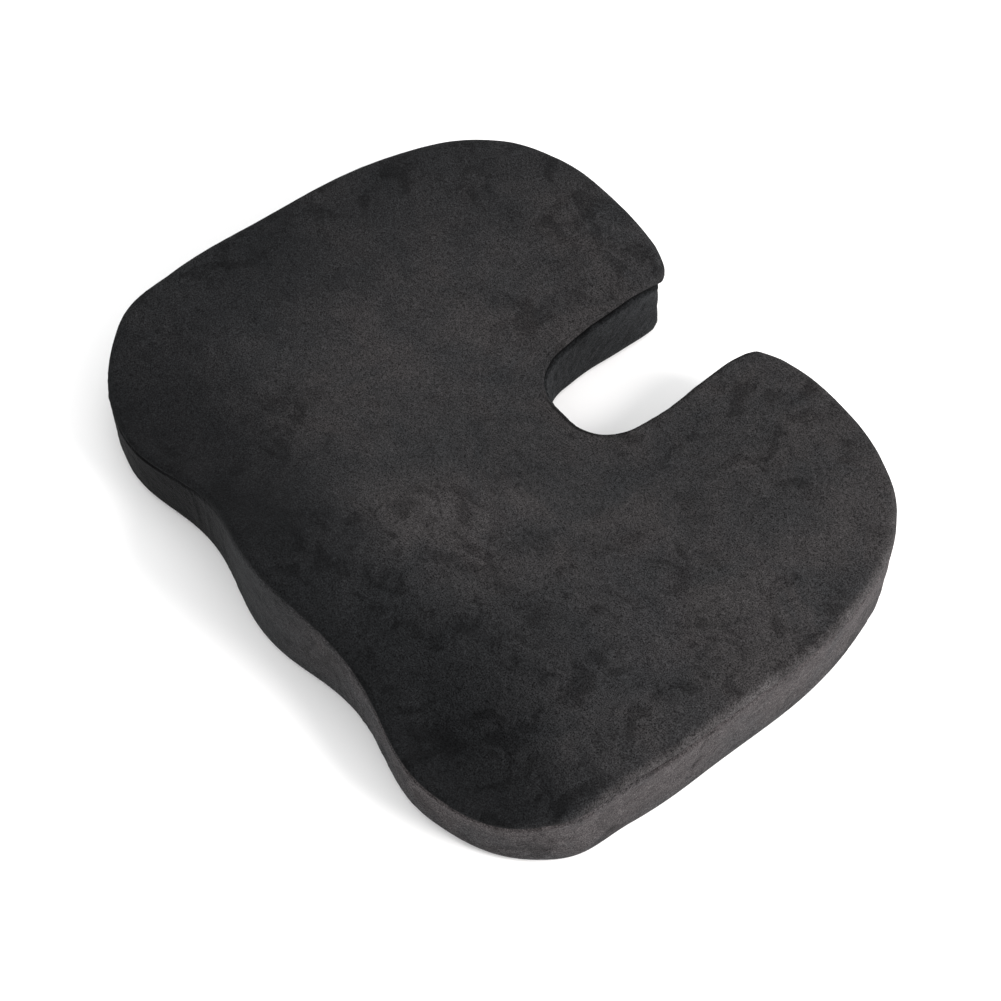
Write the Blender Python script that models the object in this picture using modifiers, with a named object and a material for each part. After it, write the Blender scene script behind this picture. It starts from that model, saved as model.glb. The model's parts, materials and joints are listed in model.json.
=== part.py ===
"""U-shaped foam seat cushion in a zipped, sewn cover.

Metres, +Z up. The origin is at the middle of the underside, +X runs across the width and
+Y runs back to the open end of the tailbone slot. The thighs rest on the -Y side.
Run with: blender --background --python part.py
"""

import math

import bmesh
import bpy
from mathutils import Vector
from mathutils.geometry import delaunay_2d_cdt

# ---------------------------------------------------------------- driving dimensions
CUSHION = "seat_cushion"

# Half of the plan outline on the widest line of the wall, from the front nose round the
# right side to the end of the slot. The left half is its mirror image.
HALF_OUTLINE = (
    (0.0, -0.1765),       # pommel nose
    (0.0700, -0.1650),    # scallop beside the pommel
    (0.1550, -0.1720),    # front lobe under the thigh
    (0.2140, -0.1335),    # front corner
    (0.2230, -0.0870),
    (0.2250, -0.0360),    # side
    (0.2150, 0.0895),
    (0.1880, 0.1400),     # back corner
    (0.1530, 0.1620),
    (0.1070, 0.1715),     # back lobe
    (0.0670, 0.1705),
    (0.0445, 0.1630),     # lip of the slot
    (0.0375, 0.1490),
    (0.0370, 0.1260),     # slot wall
    (0.0365, 0.0825),
    (0.0305, 0.0585),
    (0.0180, 0.0475),
    (0.0, 0.0450),        # closed end of the slot
)
STEPS_PER_SPAN = 5        # outline points for each span between two design points
LIP = 11                  # index in HALF_OUTLINE of the lip, where the two bands meet

RIM_HEIGHT = 0.0605       # top of the cushion where nothing raises or lowers it
# Each relief is (depth, middle x, middle y, spread in x, spread in y), as a soft bump.
SEAT_BOWL = (-0.021, 0.0, 0.058, 0.142, 0.107)
THIGH_TROUGH = (-0.0235, 0.1515, -0.1515, 0.079, 0.037)
POMMEL = (0.0195, 0.0, -0.168, 0.057, 0.070)

SHOULDER = 0.0035         # radius where the wall turns over on to the top
SHOULDER_ANGLES = tuple(math.radians(angle) for angle in (0, 45, 90))
SEAM_DROP = 0.001         # the top seam lies this far below the shoulder
UNDER_INSET = 0.003       # the underside is this much smaller all round
WALL_LEVELS = (0.0, 0.12, 0.45)         # rings of the wall, from its foot to the top seam
WALL_INSETS = (0.0021, 0.0009, 0.0)     # and how far in each one lies
GRID = 0.015              # spacing of the points on the top

FABRIC = 0.0016           # velour with its backing
GRIP_FABRIC = 0.0012      # anti-slip underside, with its dots
GAP = 0.0003              # left between pieces that touch
BAND_TRIM = 0.0005        # each band stops this far short of the vertical seam at the lip
HEM_TOP = 0.0041          # folded edge of the underside along the zip
HEM_WIDTH = 0.010

ZIP_Y = -0.040            # the zip runs along X across the underside
WINDOW_HALF = 0.0065      # half width of the opening between the two hems
WINDOW_END = 0.205        # half length of that opening
TAPE_END = 0.200
TAPE_INNER = 0.0007       # tape edge to the middle of the zip
TAPE_OUTER = 0.015
TAPE_Z = (0.0044, 0.0050)
COIL_RADIUS = 0.0008
COIL_OFFSET = 0.0016      # coil middle to the middle of the zip
COIL_Z = 0.0061
COIL_END = 0.190

SLIDER_X = 0.176          # where the slider stands with the cover closed
SLIDER_LENGTH = 0.011
SLIDER_WIDTH = 0.0085
SLIDER_OUTER_Z = (0.0032, 0.0040)
SLIDER_INNER_Z = (0.0073, 0.0081)
SLIDER_POST = (0.0026, 0.0006)          # length and width of the post between the plates
EAR_Y = (0.0025, 0.0033)                # the two ears that hold the pivot bar
EAR_RADIUS = 0.0011
PIVOT_Z = 0.0017
PIVOT_RADIUS = 0.00045
EYE_RADIUS = 0.00115      # outside of the pull's eye, round the pivot bar
EYE_BORE = 0.00075
PULL_LENGTH = 0.024
PULL_WIDTH = 0.0064
PULL_NECK = 0.0042
PULL_THICKNESS = 0.0011

FOAM_GROOVES = (          # room over the zip: half width and top of each step
    (TAPE_OUTER + 0.0015, TAPE_Z[1] + GAP),
    (WINDOW_HALF, SLIDER_INNER_Z[1] + GAP),
)

# ---------------------------------------------------------------- materials
FINISHES = {              # colour, roughness, metallic
    "foam": ((0.86, 0.80, 0.62), 0.95, 0.0),
    "velour": ((0.030, 0.030, 0.031), 0.95, 0.0),
    "grip_fabric": ((0.018, 0.018, 0.019), 0.80, 0.0),
    "zip_tape": ((0.016, 0.016, 0.017), 0.85, 0.0),
    "zip_coil": ((0.020, 0.020, 0.022), 0.45, 0.0),
    "black_metal": ((0.025, 0.025, 0.027), 0.35, 0.9),
}


def make_materials():
    materials = {}
    for name, (colour, roughness, metallic) in FINISHES.items():
        material = bpy.data.materials.new(name)
        material.use_nodes = True
        shader = material.node_tree.nodes["Principled BSDF"]
        shader.inputs["Base Color"].default_value = (*colour, 1.0)
        shader.inputs["Roughness"].default_value = roughness
        shader.inputs["Metallic"].default_value = metallic
        material.diffuse_color = (*colour, 1.0)
        materials[name] = material
    return materials


# ---------------------------------------------------------------- scene helpers
def clear_scene():
    for item in list(bpy.data.objects):
        bpy.data.objects.remove(item, do_unlink=True)


def new_collection(name):
    collection = bpy.data.collections.new(name)
    bpy.context.scene.collection.children.link(collection)
    return collection


class Workshop:
    """Where pieces and cutters go, and what they are made of."""

    def __init__(self):
        self.parts = new_collection(CUSHION)
        self.cutters = new_collection("cutters")
        self.materials = make_materials()

    def piece(self, name, mesh, finish):
        mesh.name = name
        mesh.materials.clear()
        mesh.materials.append(self.materials[finish])
        item = bpy.data.objects.new(name, mesh)
        self.parts.objects.link(item)
        return item

    def cutter(self, name, mesh):
        item = bpy.data.objects.new(name, mesh)
        item.hide_render = True
        item.display_type = "WIRE"
        self.cutters.objects.link(item)
        return item


def bmesh_to_mesh(bm, name, closed=True):
    if closed:
        bmesh.ops.recalc_face_normals(bm, faces=bm.faces)
    mesh = bpy.data.meshes.new(name)
    bm.to_mesh(mesh)
    bm.free()
    return mesh


def box_mesh(name, low, high):
    bm = bmesh.new()
    bmesh.ops.create_cube(bm, size=1.0)
    size = Vector(high) - Vector(low)
    middle = (Vector(high) + Vector(low)) / 2
    bmesh.ops.scale(bm, vec=size, verts=bm.verts)
    bmesh.ops.translate(bm, vec=middle, verts=bm.verts)
    return bmesh_to_mesh(bm, name)


def rod_mesh(name, radius, length, middle, sides=16):
    """A cylinder along Y."""
    bm = bmesh.new()
    bmesh.ops.create_cone(bm, cap_ends=True, segments=sides, radius1=radius, radius2=radius,
                          depth=length)
    turn = Vector((0, 0, 1)).rotation_difference(Vector((0, 1, 0))).to_matrix()
    bmesh.ops.rotate(bm, matrix=turn, verts=bm.verts)
    bmesh.ops.translate(bm, vec=middle, verts=bm.verts)
    return bmesh_to_mesh(bm, name)


def combine(item, cutter, operation):
    """Boolean one piece with a cutter, both named objects."""
    modifier = item.modifiers.new(f"{operation.lower()}_{cutter.name}", "BOOLEAN")
    modifier.operation = operation
    modifier.solver = "EXACT"
    modifier.object = cutter


def outline_plate(name, points, z_low, z_high):
    """A flat plate from a closed outline, by a filled and extruded curve."""
    curve = bpy.data.curves.new(name, "CURVE")
    curve.dimensions = "2D"
    curve.fill_mode = "BOTH"
    curve.extrude = (z_high - z_low) / 2
    spline = curve.splines.new("POLY")
    spline.points.add(len(points) - 1)
    for point, (x, y) in zip(spline.points, points):
        point.co = (x, y, 0.0, 1.0)
    spline.use_cyclic_u = True
    guide = bpy.data.objects.new(name, curve)
    bpy.context.scene.collection.objects.link(guide)
    evaluated = guide.evaluated_get(bpy.context.evaluated_depsgraph_get())
    bm = bmesh.new()
    bm.from_mesh(bpy.data.meshes.new_from_object(evaluated))
    bpy.data.objects.remove(guide, do_unlink=True)
    bmesh.ops.remove_doubles(bm, verts=bm.verts, dist=0.00001)
    bmesh.ops.translate(bm, vec=(0, 0, (z_high + z_low) / 2), verts=bm.verts)
    return bmesh_to_mesh(bm, name)


# ---------------------------------------------------------------- the cushion's form
def smooth_outline():
    """The closed outline as a smooth curve through its design points, as plan vectors."""
    mirrored = [(-x, y) for x, y in reversed(HALF_OUTLINE[1:-1])]
    design = list(HALF_OUTLINE) + mirrored
    curve = bpy.data.curves.new("outline", "CURVE")
    curve.dimensions = "2D"
    curve.fill_mode = "NONE"
    curve.resolution_u = STEPS_PER_SPAN
    spline = curve.splines.new("BEZIER")
    spline.bezier_points.add(len(design) - 1)
    for point, (x, y) in zip(spline.bezier_points, design):
        point.co = (x, y, 0.0)
        point.handle_left_type = "AUTO"
        point.handle_right_type = "AUTO"
    spline.use_cyclic_u = True
    guide = bpy.data.objects.new("outline", curve)
    bpy.context.scene.collection.objects.link(guide)
    evaluated = guide.evaluated_get(bpy.context.evaluated_depsgraph_get())
    mesh = bpy.data.meshes.new_from_object(evaluated)
    bpy.data.objects.remove(guide, do_unlink=True)
    points = [Vector((v.co.x, v.co.y)) for v in mesh.vertices]
    ends = [point.y for point in points]
    middle = Vector((0.0, (min(ends) + max(ends)) / 2))
    return [point - middle for point in points]


def inward_normals(points):
    normals = []
    for i, _ in enumerate(points):
        along = points[(i + 1) % len(points)] - points[i - 1]
        normals.append(Vector((-along.y, along.x)).normalized())
    return normals


def bump(relief, x, y):
    depth, mid_x, mid_y, spread_x, spread_y = relief
    return depth * math.exp(-((abs(x) - mid_x) / spread_x) ** 2 - ((y - mid_y) / spread_y) ** 2)


def crown_height(x, y):
    """Height of the top: a bowl for the seat, a trough for each thigh, a pommel between."""
    return RIM_HEIGHT + sum(bump(relief, x, y) for relief in (SEAT_BOWL, THIGH_TROUGH, POMMEL))


class Form:
    """The cushion's outer surface, and surfaces at a depth below it."""

    def __init__(self):
        self.outline = smooth_outline()
        self.inward = inward_normals(self.outline)
        self.count = len(self.outline)

    def plan(self, index, inset):
        return self.outline[index % self.count] + self.inward[index % self.count] * inset

    def ring(self, inset):
        return [self.plan(i, inset) for i in range(self.count)]

    def shoulder(self, index, angle, depth):
        """A point on the rounded shoulder, angle 0 at the wall and 90 degrees at the top."""
        radius = SHOULDER - depth
        inset = depth + radius * (1 - math.cos(angle))
        spot = self.plan(index, inset)
        height = crown_height(*spot) - depth - radius * (1 - math.sin(angle))
        return Vector((spot.x, spot.y, height))

    def seam(self, index, depth):
        """A point of the top seam, between the band and the top panel."""
        point = self.shoulder(index, 0.0, depth)
        point.z -= SEAM_DROP
        return point

    def wall_column(self, index, depth, foot):
        """Points up the wall from its foot, short of the top seam."""
        top = self.seam(index, depth).z
        column = []
        for level, inset in zip(WALL_LEVELS, WALL_INSETS):
            spot = self.plan(index, inset + depth)
            column.append(Vector((spot.x, spot.y, foot + level * (top - foot))))
        return column

    def distance(self, spot):
        """Plan distance from a spot to the outline."""
        return min((spot - point).length for point in self.outline)

    def inside(self, spot):
        """Whether a spot in plan is inside the outline, by counting crossings."""
        crossings = 0
        for i, end in enumerate(self.outline):
            start = self.outline[i - 1]
            if (start.y > spot.y) != (end.y > spot.y):
                share = (spot.y - start.y) / (end.y - start.y)
                crossings += spot.x < start.x + share * (end.x - start.x)
        return crossings % 2 == 1

    def grid_spots(self):
        """Points of a square grid on the top, clear of the shoulder."""
        low_x, low_y = (min(p[axis] for p in self.outline) for axis in (0, 1))
        spots = []
        for row in range(round(-2 * low_y / GRID) + 1):
            for step in range(round(-2 * low_x / GRID) + 1):
                spot = Vector((low_x + step * GRID, low_y + row * GRID))
                if self.inside(spot) and self.distance(spot) > SHOULDER + 0.55 * GRID:
                    spots.append(spot)
        return spots

    def shoulder_rings(self, depth):
        indices = range(self.count)
        return [[self.shoulder(i, angle, depth) for i in indices] for angle in SHOULDER_ANGLES]

    def add_crown(self, bm, edge, depth):
        """Fill the top inside a ring of bmesh vertices with the contoured crown."""
        slope_allowance = 1.1
        flat = [Vector((v.co.x, v.co.y)) for v in edge]
        grid = self.grid_spots()
        loop = [(i, (i + 1) % self.count) for i in range(self.count)]
        spots, _, faces, origin, _, _ = delaunay_2d_cdt(flat + grid, loop, [], 1, 1e-6)
        verts = []
        for spot, sources in zip(spots, origin):
            if sources and sources[0] < self.count:
                verts.append(edge[sources[0]])
            else:
                height = crown_height(*spot) - depth * slope_allowance
                verts.append(bm.verts.new((spot.x, spot.y, height)))
        for face in faces:
            bm.faces.new([verts[i] for i in face])


def join_rings(bm, lower, upper):
    for i, vertex in enumerate(lower):
        following = (i + 1) % len(lower)
        bm.faces.new((vertex, lower[following], upper[following], upper[i]))


def solidify(item, thickness):
    modifier = item.modifiers.new("fabric_thickness", "SOLIDIFY")
    modifier.thickness = thickness
    modifier.offset = -1.0
    modifier.use_even_offset = True


# ---------------------------------------------------------------- foam and cover
def make_foam(shop, form):
    """The moulded foam, one layer of fabric inside the cover, with room for the zip."""
    depth = FABRIC + 0.0005
    foot = GRIP_FABRIC + GAP
    bm = bmesh.new()
    columns = [form.wall_column(i, depth, foot) for i in range(form.count)]
    points = [list(ring) for ring in zip(*columns)]
    points += form.shoulder_rings(depth)
    rings = [[bm.verts.new(point) for point in ring] for ring in points]
    for lower, upper in zip(rings, rings[1:]):
        join_rings(bm, lower, upper)
    bm.faces.new(list(reversed(rings[0])))
    form.add_crown(bm, rings[-1], depth)
    foam = shop.piece("foam_core", bmesh_to_mesh(bm, "foam_core"), "foam")
    for number, (half_width, top) in enumerate(FOAM_GROOVES, start=1):
        low = (-WINDOW_END, ZIP_Y - half_width, -GAP)
        high = (WINDOW_END, ZIP_Y + half_width, top)
        name = f"foam_groove_cutter_{number}"
        combine(foam, shop.cutter(name, box_mesh(name, low, high)), "DIFFERENCE")


def make_top_panel(shop, form):
    """The top of the cover, from one side of the top seam to the other."""
    bm = bmesh.new()
    hem = [form.seam(i, 0.0) for i in range(form.count)]
    rings = [[bm.verts.new(point) for point in ring] for ring in (hem, *form.shoulder_rings(0.0))]
    for lower, upper in zip(rings, rings[1:]):
        join_rings(bm, lower, upper)
    form.add_crown(bm, rings[-1], 0.0)
    sheet = bmesh_to_mesh(bm, "cover_top_panel", closed=False)
    panel = shop.piece("cover_top_panel", sheet, "velour")
    solidify(panel, FABRIC)


def make_band(shop, form, name, first, last):
    """A strip of cover round the wall, between two of the outline's points."""
    foot = GRIP_FABRIC + GAP
    bm = bmesh.new()
    columns = []
    for index in range(first, last + 1):
        points = form.wall_column(index, 0.0, foot)
        top = form.seam(index, 0.0)
        top.z -= GAP
        columns.append(points + [top])
    trim_end(columns[0], columns[1])
    trim_end(columns[-1], columns[-2])
    grid = [[bm.verts.new(point) for point in column] for column in columns]
    for left, right in zip(grid, grid[1:]):
        for low in range(len(left) - 1):
            bm.faces.new((left[low], right[low], right[low + 1], left[low + 1]))
    band = shop.piece(name, bmesh_to_mesh(bm, name, closed=False), "velour")
    solidify(band, FABRIC)


def trim_end(column, neighbour):
    """Draw a band's end back from the vertical seam, so that the two bands stay clear."""
    for point, other in zip(column, neighbour):
        point += (other - point).normalized() * BAND_TRIM


def make_bottom_panels(shop, form):
    """The underside in two pieces, each with a folded hem along the zip."""
    reach = form.ring(UNDER_INSET)
    sides = {"front": -1, "rear": 1}
    for side, sign in sides.items():
        name = f"cover_bottom_{side}"
        plate = outline_plate(name, reach, 0.0, GRIP_FABRIC)
        panel = shop.piece(name, plate, "grip_fabric")
        hem = zip_box(f"{name}_hem", sign, WINDOW_END, (0.0, WINDOW_HALF + HEM_WIDTH),
                      (GRIP_FABRIC / 2, HEM_TOP))
        combine(panel, shop.cutter(hem.name, hem), "UNION")
        away = zip_box(f"{name}_trim", -sign, 0.3, (-GAP / 2, 0.4), (-0.01, 0.01))
        combine(panel, shop.cutter(away.name, away), "DIFFERENCE")
        window = zip_box(f"{name}_window", sign, WINDOW_END, (-GAP, WINDOW_HALF), (-0.01, 0.01))
        combine(panel, shop.cutter(window.name, window), "DIFFERENCE")


def zip_box(name, sign, half_length, span, z_range):
    """A box along the zip, on one side of it: span is measured from the zip's middle."""
    near, far = sorted((ZIP_Y + sign * span[0], ZIP_Y + sign * span[1]))
    return box_mesh(name, (-half_length, near, z_range[0]), (half_length, far, z_range[1]))


# ---------------------------------------------------------------- zip
def make_zip_rows(shop):
    """A tape and a row of coil on each side of the zip."""
    for side, sign in {"front": -1, "rear": 1}.items():
        tape = zip_box(f"zip_tape_{side}", sign, TAPE_END, (TAPE_INNER, TAPE_OUTER), TAPE_Z)
        shop.piece(tape.name, tape, "zip_tape")
        coil = bpy.data.curves.new(f"zip_coil_{side}", "CURVE")
        coil.dimensions = "3D"
        coil.bevel_depth = COIL_RADIUS
        coil.bevel_resolution = 2
        coil.use_fill_caps = True
        spline = coil.splines.new("POLY")
        spline.points.add(1)
        for point, x in zip(spline.points, (-COIL_END, COIL_END)):
            point.co = (x, ZIP_Y + sign * COIL_OFFSET, COIL_Z, 1.0)
        row = bpy.data.objects.new(coil.name, coil)
        row.data.materials.append(shop.materials["zip_coil"])
        shop.parts.objects.link(row)


def make_zip_stops(shop):
    """One stop across both coils where the zip begins, and one on each coil where it ends."""
    reach = COIL_OFFSET + COIL_RADIUS + 0.0006
    z_range = (TAPE_Z[1] + GAP, COIL_Z + COIL_RADIUS + 0.0003)
    start = -COIL_END - GAP
    low = (start - 0.003, ZIP_Y - reach, z_range[0])
    high = (start, ZIP_Y + reach, z_range[1])
    shop.piece("zip_bottom_stop", box_mesh("zip_bottom_stop", low, high), "black_metal")
    for side, sign in {"front": -1, "rear": 1}.items():
        near, far = sorted((ZIP_Y + sign * 0.0006, ZIP_Y + sign * reach))
        low = (COIL_END + GAP, near, z_range[0])
        high = (COIL_END + GAP + 0.0026, far, z_range[1])
        name = f"zip_top_stop_{side}"
        stop = shop.piece(name, box_mesh(name, low, high), "black_metal")
        round_edges(stop, 0.0003)
    round_edges(bpy.data.objects["zip_bottom_stop"], 0.0003)


def round_edges(item, width):
    modifier = item.modifiers.new("rounded_edges", "BEVEL")
    modifier.width = width
    modifier.segments = 2
    modifier.limit_method = "ANGLE"


def slider_plan():
    """The slider's outline from above, narrower where the closed chain leaves it."""
    half_length = SLIDER_LENGTH / 2
    half_width = SLIDER_WIDTH / 2
    waist = half_width * 0.74
    return [
        (-half_length, -waist), (-half_length * 0.1, -waist * 1.04),
        (half_length * 0.55, -half_width), (half_length, -half_width * 0.72),
        (half_length, half_width * 0.72), (half_length * 0.55, half_width),
        (-half_length * 0.1, waist * 1.04), (-half_length, waist),
    ]


def make_slider(shop):
    """Two plates joined by a post between the coils, with ears and a bar for the pull."""
    plan = slider_plan()
    plate = outline_plate("zip_slider", plan, *SLIDER_OUTER_Z)
    slider = shop.piece("zip_slider", plate, "black_metal")
    slider.location = (SLIDER_X, ZIP_Y, 0.0)
    inner = outline_plate("slider_inner_plate", plan, *SLIDER_INNER_Z)
    post_length, post_width = SLIDER_POST
    middle = SLIDER_LENGTH * 0.28
    post_low = (middle - post_length / 2, -post_width / 2, SLIDER_OUTER_Z[1] - GAP)
    post_high = (middle + post_length / 2, post_width / 2, SLIDER_INNER_Z[0] + GAP)
    meshes = [inner, box_mesh("slider_post", post_low, post_high)]
    for side, sign in {"front": -1, "rear": 1}.items():
        near, far = sorted((sign * EAR_Y[0], sign * EAR_Y[1]))
        ear = box_mesh(f"slider_ear_{side}", (-EAR_RADIUS, near, PIVOT_Z - EAR_RADIUS),
                       (EAR_RADIUS, far, SLIDER_OUTER_Z[0] + GAP))
        meshes.append(ear)
    meshes.append(rod_mesh("slider_bar", PIVOT_RADIUS, EAR_Y[0] + EAR_Y[1], (0, 0, PIVOT_Z)))
    for mesh in meshes:
        cutter = shop.cutter(mesh.name, mesh)
        cutter.location = slider.location
        combine(slider, cutter, "UNION")
    return slider


def make_pull(shop, slider):
    """A flat tab whose eye turns on the slider's bar; its origin is on that bar."""
    bottom = -EYE_RADIUS
    top = bottom + PULL_THICKNESS
    neck = PULL_NECK / 2
    half = PULL_WIDTH / 2
    arc = [math.radians(angle) for angle in range(-90, 91, 30)]
    centre = -PULL_LENGTH + half
    tip = [(centre - half * math.cos(a), -half * math.sin(a)) for a in arc]
    plan = [(0.0, neck), *[(x, y) for x, y in ((-0.0040, neck), (-0.0075, half))]]
    plan += tip + [(-0.0075, -half), (-0.0040, -neck), (0.0, -neck)]
    pull = shop.piece("zip_pull", outline_plate("zip_pull", plan, bottom, top), "black_metal")
    pull.location = (SLIDER_X, ZIP_Y, PIVOT_Z)
    eye = rod_mesh("pull_eye", EYE_RADIUS, PULL_NECK - 0.0002, (0, 0, 0))
    bore = rod_mesh("pull_bore", EYE_BORE, PULL_NECK * 2, (0, 0, 0))
    for mesh, operation in ((eye, "UNION"), (bore, "DIFFERENCE")):
        cutter = shop.cutter(mesh.name, mesh)
        cutter.location = pull.location
        combine(pull, cutter, operation)


def main():
    clear_scene()
    shop = Workshop()
    form = Form()
    lip = LIP * STEPS_PER_SPAN
    make_foam(shop, form)
    make_top_panel(shop, form)
    make_band(shop, form, "cover_outer_band", -lip, lip)
    make_band(shop, form, "cover_slot_band", lip, form.count - lip)
    make_bottom_panels(shop, form)
    make_zip_rows(shop)
    make_zip_stops(shop)
    slider = make_slider(shop)
    make_pull(shop, slider)


main()
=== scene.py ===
"""Looks of the U-shaped seat cushion: a velour cover over foam, with a zip underneath.

Everything is in metres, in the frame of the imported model: the cushion rests on z = 0, +X runs
across it and +Y runs back to the open end of the tailbone slot.
"""

import json
import math

import bmesh
import bpy
import numpy as np
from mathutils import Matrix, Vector, noise
from mathutils.geometry import delaunay_2d_cdt


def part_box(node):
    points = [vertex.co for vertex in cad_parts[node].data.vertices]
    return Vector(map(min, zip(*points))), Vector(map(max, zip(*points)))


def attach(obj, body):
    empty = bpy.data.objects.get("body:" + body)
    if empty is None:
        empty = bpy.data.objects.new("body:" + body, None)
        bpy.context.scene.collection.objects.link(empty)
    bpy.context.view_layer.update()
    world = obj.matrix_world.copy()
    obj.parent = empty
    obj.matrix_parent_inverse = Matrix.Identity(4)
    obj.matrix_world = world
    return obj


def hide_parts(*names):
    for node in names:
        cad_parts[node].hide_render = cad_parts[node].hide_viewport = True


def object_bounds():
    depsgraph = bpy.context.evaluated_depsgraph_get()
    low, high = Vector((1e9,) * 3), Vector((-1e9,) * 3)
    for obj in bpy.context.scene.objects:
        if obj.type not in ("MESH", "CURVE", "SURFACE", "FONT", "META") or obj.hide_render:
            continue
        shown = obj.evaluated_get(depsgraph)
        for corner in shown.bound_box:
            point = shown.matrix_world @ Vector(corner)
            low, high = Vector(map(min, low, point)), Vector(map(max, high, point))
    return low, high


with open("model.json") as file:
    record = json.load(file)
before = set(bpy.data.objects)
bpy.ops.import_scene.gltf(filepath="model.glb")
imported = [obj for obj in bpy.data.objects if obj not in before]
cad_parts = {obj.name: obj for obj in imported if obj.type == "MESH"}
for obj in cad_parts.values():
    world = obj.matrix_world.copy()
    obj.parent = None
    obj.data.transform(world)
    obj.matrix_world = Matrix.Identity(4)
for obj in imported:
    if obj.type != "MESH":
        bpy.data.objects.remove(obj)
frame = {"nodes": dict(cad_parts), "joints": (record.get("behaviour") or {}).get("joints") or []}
cad_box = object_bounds()
MM = 0.001

# ---- the cushion's form
# Half of the plan outline, from the front nose round the right side to the end of the slot.
HALF_OUTLINE = (
    (0.0, -0.1765), (0.0700, -0.1650), (0.1550, -0.1720), (0.2140, -0.1335),
    (0.2230, -0.0870), (0.2250, -0.0360), (0.2150, 0.0895), (0.1880, 0.1400),
    (0.1530, 0.1620), (0.1070, 0.1715), (0.0680, 0.1705), (0.0500, 0.1663),
    (0.0397, 0.1598), (0.0370, 0.1480), (0.0368, 0.1260), (0.0365, 0.0825), (0.0305, 0.0585),
    (0.0180, 0.0475), (0.0, 0.0450),
)
OUTLINE_STEPS = 48  # curve points between two points of the outline
COLUMNS = 700  # columns of points round the outline
LIP = Vector((0.0425, 0.1640))  # where the outer band meets the slot band
LIP_REACH = 0.011
LIP_FOLDS = (0.034, 0.022)  # folds underneath are smoothed from this far off a lip, fully here
# The seam at each lip pulls the wall in to a cut corner through this point, facing this way.
LIP_CUT = Vector((0.0360, 0.1523))
LIP_CUT_FACING = Vector((-0.62, 0.785))
LIP_ROUND = 0.6 * MM
SLOT_SIDES = (0.044, 0.038)  # the outline turns into the slot's between these x
SLOT_SHIFT = 1.7 * MM  # the sewn cover sits this far to the right at its slot,
SLOT_SHIFT_X = (0.075, 0.045)  # fading in between these x, and these y
SLOT_SHIFT_Y = (0.03, 0.05)
LEFT_TUCK = 2.0 * MM  # its back edge is drawn in this much by the left lip
LEFT_TUCK_X = -0.088
LEFT_TUCK_REACH = 0.032
FACING_FRONT = 0.6  # how squarely a wall faces front to count as front

RIM_HEIGHT = 0.0605
# Each relief is (depth, middle x, middle y, spread in x, spread in y).
SEAT_BOWL = (-0.021, 0.0, 0.058, 0.142, 0.107)
THIGH_TROUGH = (-0.0235, 0.1515, -0.1515, 0.079, 0.037)
POMMEL = (0.0195, 0.0, -0.168, 0.057, 0.070)

# Radius where the wall turns over on to the top: tight in the slot, softer outside.
SHOULDER_SLOT = 2.4 * MM
SHOULDER_LIP = 6.0 * MM
LIP_FALL = 9.5 * MM  # the turn-over is this much taller at the lips
LIP_FALL_REACH = 0.021
SHOULDER_FRONT = 4.5 * MM
SHOULDER_SIDE = 6.0 * MM
SEAM_DROP = 0.7 * MM  # top seam, below the foot of the shoulder
SLOT_RIM = 1.2 * MM  # the slot's wall shows this much past the top panel's edge
SLOT_DRAFT = 2.4 * MM  # and leans out this much more at its foot
WALL_FOOT = 3.2 * MM  # where the wall starts to turn under
SEAM_PARTING = Vector((0.2235, -0.0700))  # where the pile parts most along the top seam
SEAM_PARTING_REACH = 0.024
GATHER = Vector((0.2247, -0.0425))  # small leaning puckers in the right side
GATHER_REACH = 0.012
FOOT_FOLDS = (0.018, 0.150)  # x of the folds above the front's bottom seam
FOOT_FOLD_REACH = 0.030
FOOT_FOLD_Z = 5.0 * MM
FOOT_FOLD_HEIGHT = 1.1 * MM
SEAM_SHADE_REACH = 1.3 * MM  # the seam is painted dark this far each side of the top seam: painted shade in its groove and crushed pile
ROLLED_SEAM = math.radians(80)  # how far up the slot's shoulder its seam rolls, where it is painted as a dark line
ROLLED_WIDTH = 0.36
SHOULDER_TURNS = (5, 14, 24, 35, 47, 60, 75, 90)  # degrees, of the rows over the shoulder
PUCKER_LEAN = math.radians(50)
# Depths of the wall's creases, in millimetres.
STREAK_DEPTH = 0.34
FRONT_STREAK_DEPTH = 0.12
SLOT_STREAK_DEPTH = 0.10
DIMPLE_DEPTH = 0.34
PUCKER_DEPTH = 0.45  # in the slot and at its lips
GATHER_DEPTH = 0.8
FOOT_FOLD_DEPTH = 0.9
CREASE_SHADE_DEPTH = 0.55  # a crease this deep gets the darkest painted shade
FABRIC = 1.2 * MM
GRIP_FABRIC = 0.75 * MM
WALL_ROWS = 17  # rows of the simulated wall, from the bottom seam to the top seam
WALL_EASE = 3.0 * MM  # how far the simulated fabric may move
WALL_GAP = 1.5 * MM  # between it and the foam that it settles against
WALL_JITTER = 0.12 * MM
WALL_STEPS = 30
WALL_CLOTH = {
    "quality": 6, "mass": 0.15, "tension_stiffness": 20, "compression_stiffness": 20,
    "shear_stiffness": 8, "bending_stiffness": 0.02, "air_damping": 2,
    "vertex_group_mass": "seams", "vertex_group_shrink": "ease", "shrink_min": 0.0,
    "shrink_max": -0.06, "use_pressure": True, "uniform_pressure_force": 0.4,
}
TOP_GRID = 2.7 * MM

FOAM_DEPTH = 2.4 * MM  # foam inside the outline
FOAM_DROP = 3.0 * MM  # and below the crown
FOAM_FLOOR = 2.1 * MM
FOAM_FOOT = 6.4 * MM  # foot of the foam's wall
FOAM_LEAST_BEND = 1.2 * MM
FOAM_GRID = 5 * MM
# Trenches over the tapes and the slider: half the width at the mouth and below, and the depth.
TRENCHES = ((18 * MM, 16.6 * MM, 3.4 * MM), (8 * MM, 6.8 * MM, 3.2 * MM))

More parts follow.
